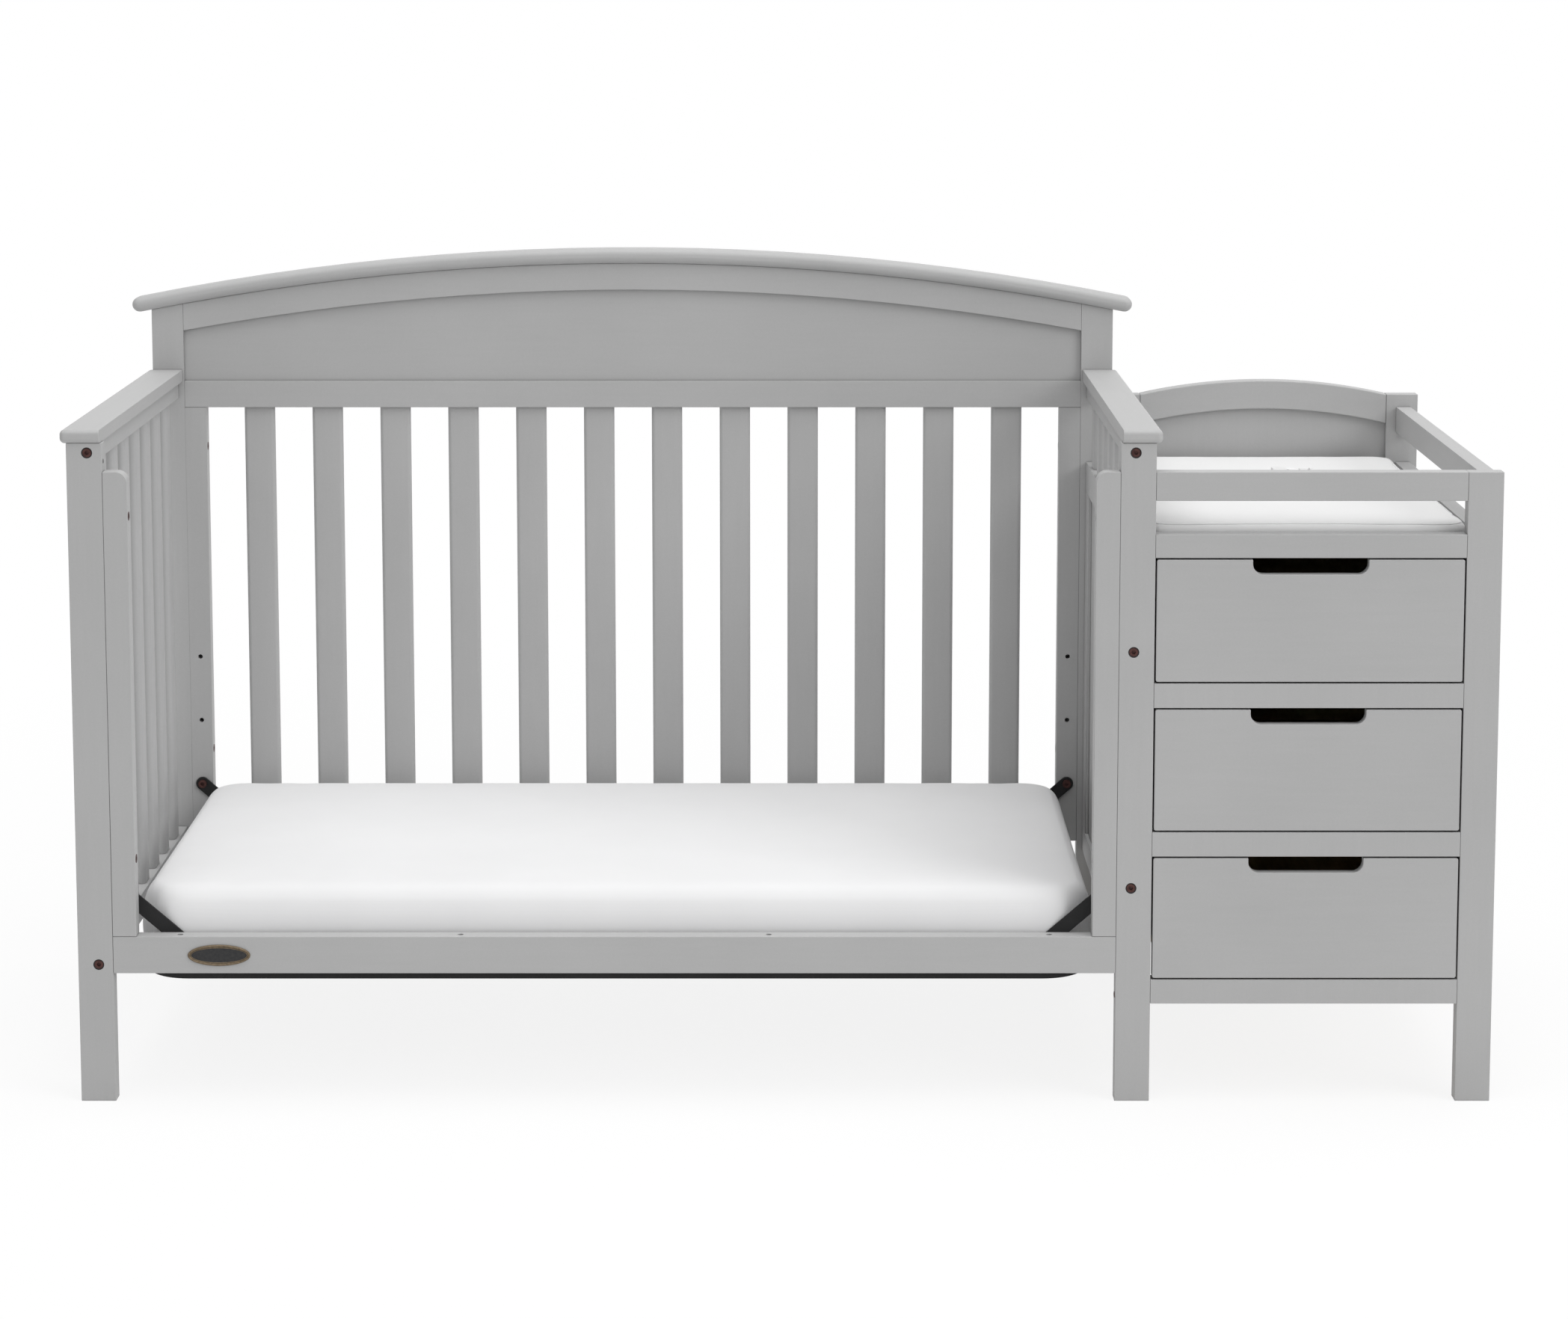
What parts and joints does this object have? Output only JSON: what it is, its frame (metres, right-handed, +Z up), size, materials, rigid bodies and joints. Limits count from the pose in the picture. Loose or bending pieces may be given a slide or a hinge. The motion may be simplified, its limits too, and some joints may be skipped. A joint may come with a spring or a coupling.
{
  "type": "crib with changer",
  "caption": "Daybed-style crib with arched headboard, slatted ends and an attached changing table with sliding drawers, mattress and pad.",
  "frame": {"origin": "on the floor under the middle of the object's bounding box", "axes": "+X from the crib to the changer, +Y from front to back, +Z up"},
  "size_m": [1.9304, 0.759, 1.0964],
  "materials": {
    "painted_wood": "satin grey paint",
    "bare_wood": "clear lacquer",
    "zinc_steel": "zinc plated",
    "bronze_bolts": "dark bronze",
    "black_steel": "black powder coat",
    "mattress_cover": "white woven cover",
    "pad_cover": "white wipe-clean cover"
  },
  "bodies": {
    "frame": {"front_left_post": "painted_wood", "front_centre_post": "painted_wood", "front_right_post": "painted_wood", "back_left_post": "painted_wood", "back_centre_post": "painted_wood", "changer_back_left_post": "painted_wood", "changer_back_right_post": "painted_wood", "left_arm_cap": "painted_wood", "right_arm_cap": "painted_wood", "left_side_top_rail": "painted_wood", "left_side_bottom_rail": "painted_wood", "left_side_slats": "painted_wood", "right_side_top_rail": "painted_wood", "right_side_mid_rail": "painted_wood", "right_side_bottom_rail": "painted_wood", "right_side_slats": "painted_wood", "right_side_panel_stiles": "painted_wood", "right_side_panel": "painted_wood", "front_rail": "painted_wood", "front_stiles": "painted_wood", "headboard_cap": "painted_wood", "headboard_apron": "painted_wood", "headboard_panel": "painted_wood", "headboard_lower_rail": "painted_wood", "back_slats": "painted_wood", "back_bottom_rail": "painted_wood", "back_stiles": "painted_wood", "changer_top_rail": "painted_wood", "changer_apron_rail": "painted_wood", "changer_drawer_rails": "painted_wood", "changer_side_top_rail": "painted_wood", "changer_side_apron_rail": "painted_wood", "changer_side_panel": "painted_wood", "changer_side_bottom_rail": "painted_wood", "changer_arched_rail": "painted_wood", "changer_back_panel": "painted_wood", "changer_back_bottom_rail": "painted_wood", "changing_shelf": "painted_wood", "drawer_bearers": "bare_wood", "drawer_slide_channels": "zinc_steel", "frame_bolts": "bronze_bolts", "mattress_support_frame": "black_steel", "mattress_support_bars": "black_steel", "mattress_support_hangers": "black_steel"},
    "mattress": {"mattress": "mattress_cover"},
    "changing_pad": {"changing_pad": "pad_cover"},
    "upper_drawer": {"upper_drawer_front": "painted_wood", "upper_drawer_box": "bare_wood", "upper_drawer_bottom": "bare_wood", "upper_drawer_slides": "zinc_steel"},
    "middle_drawer": {"middle_drawer_front": "painted_wood", "middle_drawer_box": "bare_wood", "middle_drawer_bottom": "bare_wood", "middle_drawer_slides": "zinc_steel"},
    "lower_drawer": {"lower_drawer_front": "painted_wood", "lower_drawer_box": "bare_wood", "lower_drawer_bottom": "bare_wood", "lower_drawer_slides": "zinc_steel"}
  },
  "joints": [
    {"name": "mattress_lift", "type": "slide", "parent": "frame", "child": "mattress", "axis": [0, 0, 1], "range_m": [0, 0.6]},
    {"name": "changing_pad_lift", "type": "slide", "parent": "frame", "child": "changing_pad", "axis": [0, 0, 1], "range_m": [0, 0.1]},
    {"name": "upper_drawer_slide", "type": "slide", "parent": "frame", "child": "upper_drawer", "axis": [0, -1, 0], "range_m": [0, 0.36]},
    {"name": "middle_drawer_slide", "type": "slide", "parent": "frame", "child": "middle_drawer", "axis": [0, -1, 0], "range_m": [0, 0.36]},
    {"name": "lower_drawer_slide", "type": "slide", "parent": "frame", "child": "lower_drawer", "axis": [0, -1, 0], "range_m": [0, 0.36]}
  ]
}
